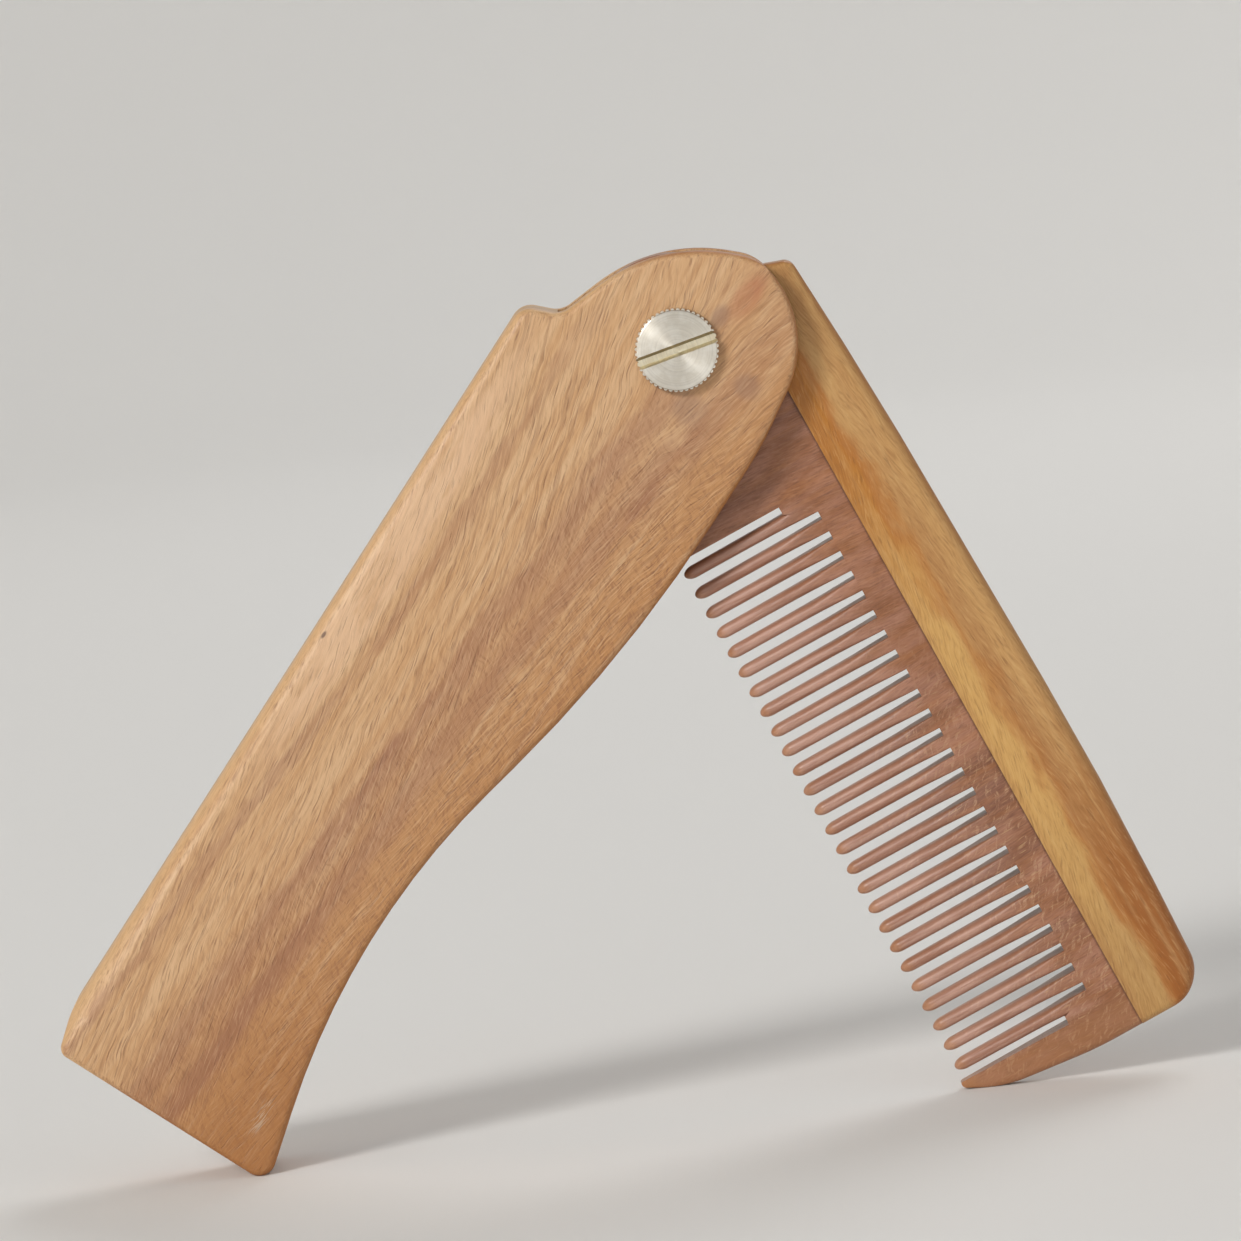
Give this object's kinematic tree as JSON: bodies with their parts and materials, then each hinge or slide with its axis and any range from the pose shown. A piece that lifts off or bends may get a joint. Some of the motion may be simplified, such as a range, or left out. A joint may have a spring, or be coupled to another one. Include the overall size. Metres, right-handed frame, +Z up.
{
  "type": "folding beard comb",
  "caption": "Folding wooden beard comb: a fine-toothed plate glued to a grooved spine pivots on a ribbed screw post between two curved handle scales, and folds into the slot between them.",
  "frame": {"origin": "middle of the bounding box on the floor, standing half open on the handle's toe and the comb's end guard", "axes": "+X from the handle's foot to the comb's foot, +Y from the front scale to the rear scale along the pivot, +Z up"},
  "size_m": [0.1206, 0.0142, 0.0923],
  "materials": {
    "handle_wood": "oiled satin, tan with pinkish-brown streaks",
    "plate_wood": "oiled satin, pinkish brown",
    "spine_wood": "oiled satin, yellow tan",
    "plated_brass": "nickel plated, turned faces",
    "bare_brass": "plain rolled"
  },
  "bodies": {
    "handle": {"front_scale": "handle_wood", "rear_scale": "handle_wood", "back_spacer": "handle_wood", "butt_spacer": "handle_wood", "pivot_screw": "plated_brass", "pivot_barrel": "plated_brass", "front_washer": "bare_brass", "rear_washer": "bare_brass"},
    "comb": {"tooth_plate": "plate_wood", "spine": "spine_wood"}
  },
  "joints": [
    {"name": "comb_pivot", "type": "hinge", "parent": "handle", "child": "comb", "pos_m": [0.01267, 0, 0.08221], "axis": [0, -1, 0], "range_deg": [-62, 118]}
  ]
}
